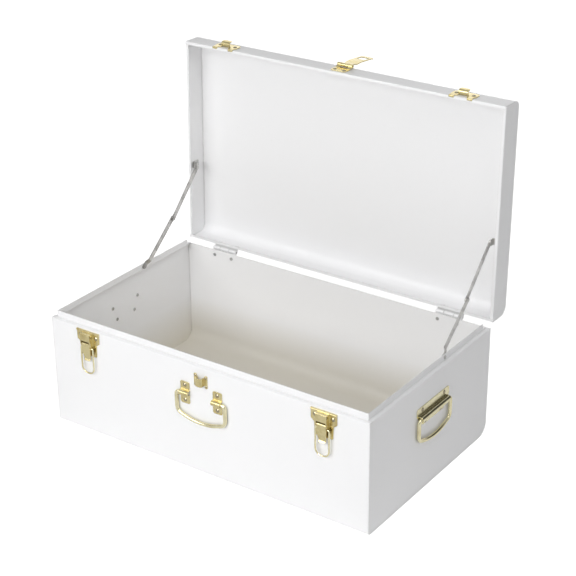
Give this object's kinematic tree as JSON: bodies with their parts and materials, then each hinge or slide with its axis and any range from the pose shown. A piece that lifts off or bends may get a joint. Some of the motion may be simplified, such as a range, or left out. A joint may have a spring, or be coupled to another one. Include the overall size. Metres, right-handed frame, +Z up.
{
  "type": "metal storage trunk",
  "caption": "Sheet-steel storage trunk with a hinged lid on folding stays, draw latches with wire loops, a hasp and staple, and hinged wire handles.",
  "frame": {"origin": "middle of the underside of the body", "axes": "+X to the right along the front, +Y to the back, +Z up; the lid stands open"},
  "size_m": [0.5772, 0.4459, 0.5216],
  "materials": {
    "white_paint": "white satin powder coat on sheet steel",
    "brass": "bright pale brass plate on stamped steel",
    "steel": "zinc plated steel"
  },
  "bodies": {
    "trunk": {"body_wrap": "white_paint", "left_end": "white_paint", "right_end": "white_paint", "hinge_pins": "steel", "hinge_body_rivets": "white_paint", "latch_pins": "brass", "latch_rivets": "brass", "staple": "brass", "staple_rivets": "brass", "front_bracket_rivets": "brass", "side_plate_rivets": "brass", "stay_lip_rivets": "steel", "left_hinge_body_leaf": "white_paint", "left_latch_plate": "brass", "left_front_bracket": "brass", "left_side_plate": "brass", "right_hinge_body_leaf": "white_paint", "right_latch_plate": "brass", "right_front_bracket": "brass", "right_side_plate": "brass"},
    "lid": {"lid_wrap": "white_paint", "hinge_lid_rivets": "white_paint", "catch_rivets": "brass", "hasp_plate": "brass", "hasp_pin": "brass", "hasp_rivets": "brass", "stay_bracket_rivets": "steel", "stay_lid_rivets": "steel", "left_lid_end": "white_paint", "left_hinge_lid_leaf": "white_paint", "left_catch": "brass", "left_stay_bracket": "steel", "right_lid_end": "white_paint", "right_hinge_lid_leaf": "white_paint", "right_catch": "brass", "right_stay_bracket": "steel"},
    "hasp": {"hasp_strap": "brass"},
    "front_handle": {"front_bail": "brass"},
    "left_lever": {"left_latch_lever": "brass"},
    "left_loop": {"left_latch_loop": "brass"},
    "left_handle": {"left_side_bail": "brass"},
    "left_lower_stay": {"left_stay_lower_arm": "steel", "left_stay_lower_rivet": "steel"},
    "left_upper_stay": {"left_stay_upper_arm": "steel", "left_stay_upper_rivet": "steel"},
    "right_lever": {"right_latch_lever": "brass"},
    "right_loop": {"right_latch_loop": "brass"},
    "right_handle": {"right_side_bail": "brass"},
    "right_lower_stay": {"right_stay_lower_arm": "steel", "right_stay_lower_rivet": "steel"},
    "right_upper_stay": {"right_stay_upper_arm": "steel", "right_stay_upper_rivet": "steel"}
  },
  "joints": [
    {"name": "lid_hinge", "type": "hinge", "parent": "trunk", "child": "lid", "pos_m": [0, 0.1703, 0.1775], "axis": [-1, 0, 0], "range_deg": [-91.3, 0]},
    {"name": "hasp_fold", "type": "hinge", "parent": "lid", "child": "hasp", "pos_m": [0, 0.203, 0.51645], "axis": [-1, 0, 0], "range_deg": [-184, 0]},
    {"name": "front_handle_lift", "type": "hinge", "parent": "trunk", "child": "front_handle", "pos_m": [0, -0.1681, 0.127], "axis": [-1, 0, 0], "range_deg": [0, 110]},
    {"name": "left_lever_lift", "type": "hinge", "parent": "trunk", "child": "left_lever", "pos_m": [-0.208, -0.1705, 0.1534], "axis": [1, 0, 0], "range_deg": [-115, 0]},
    {"name": "left_loop_swing", "type": "hinge", "parent": "left_lever", "child": "left_loop", "pos_m": [-0.208, -0.1702, 0.1478], "axis": [-1, 0, 0], "range_deg": [0, 180.8]},
    {"name": "left_handle_lift", "type": "hinge", "parent": "trunk", "child": "left_handle", "pos_m": [-0.2843, 0, 0.121], "axis": [0, 1, 0], "range_deg": [0, 110]},
    {"name": "left_lower_stay_fold", "type": "hinge", "parent": "trunk", "child": "left_lower_stay", "pos_m": [-0.2722, 0.04201, 0.181], "axis": [1, 0, 0], "range_deg": [-39.8, 0]},
    {"name": "left_upper_stay_fold", "type": "hinge", "parent": "lid", "child": "left_upper_stay", "pos_m": [-0.2667, 0.17671, 0.30568], "axis": [-1, 0, 0], "range_deg": [-42.92, 0]},
    {"name": "right_lever_lift", "type": "hinge", "parent": "trunk", "child": "right_lever", "pos_m": [0.208, -0.1705, 0.1534], "axis": [1, 0, 0], "range_deg": [-115, 0]},
    {"name": "right_loop_swing", "type": "hinge", "parent": "right_lever", "child": "right_loop", "pos_m": [0.208, -0.1702, 0.1478], "axis": [-1, 0, 0], "range_deg": [0, 180.8]},
    {"name": "right_handle_lift", "type": "hinge", "parent": "trunk", "child": "right_handle", "pos_m": [0.2843, 0, 0.121], "axis": [0, -1, 0], "range_deg": [0, 110]},
    {"name": "right_lower_stay_fold", "type": "hinge", "parent": "trunk", "child": "right_lower_stay", "pos_m": [0.2722, 0.04201, 0.181], "axis": [1, 0, 0], "range_deg": [-39.8, 0]},
    {"name": "right_upper_stay_fold", "type": "hinge", "parent": "lid", "child": "right_upper_stay", "pos_m": [0.2667, 0.17671, 0.30568], "axis": [-1, 0, 0], "range_deg": [-42.92, 0]}
  ],
  "couplings": [
    {"joint": "left_lower_stay_fold", "follows": "lid_hinge", "ratio": 0.43579},
    {"joint": "left_upper_stay_fold", "follows": "lid_hinge", "ratio": 0.47002},
    {"joint": "right_lower_stay_fold", "follows": "lid_hinge", "ratio": 0.43579},
    {"joint": "right_upper_stay_fold", "follows": "lid_hinge", "ratio": 0.47002}
  ]
}
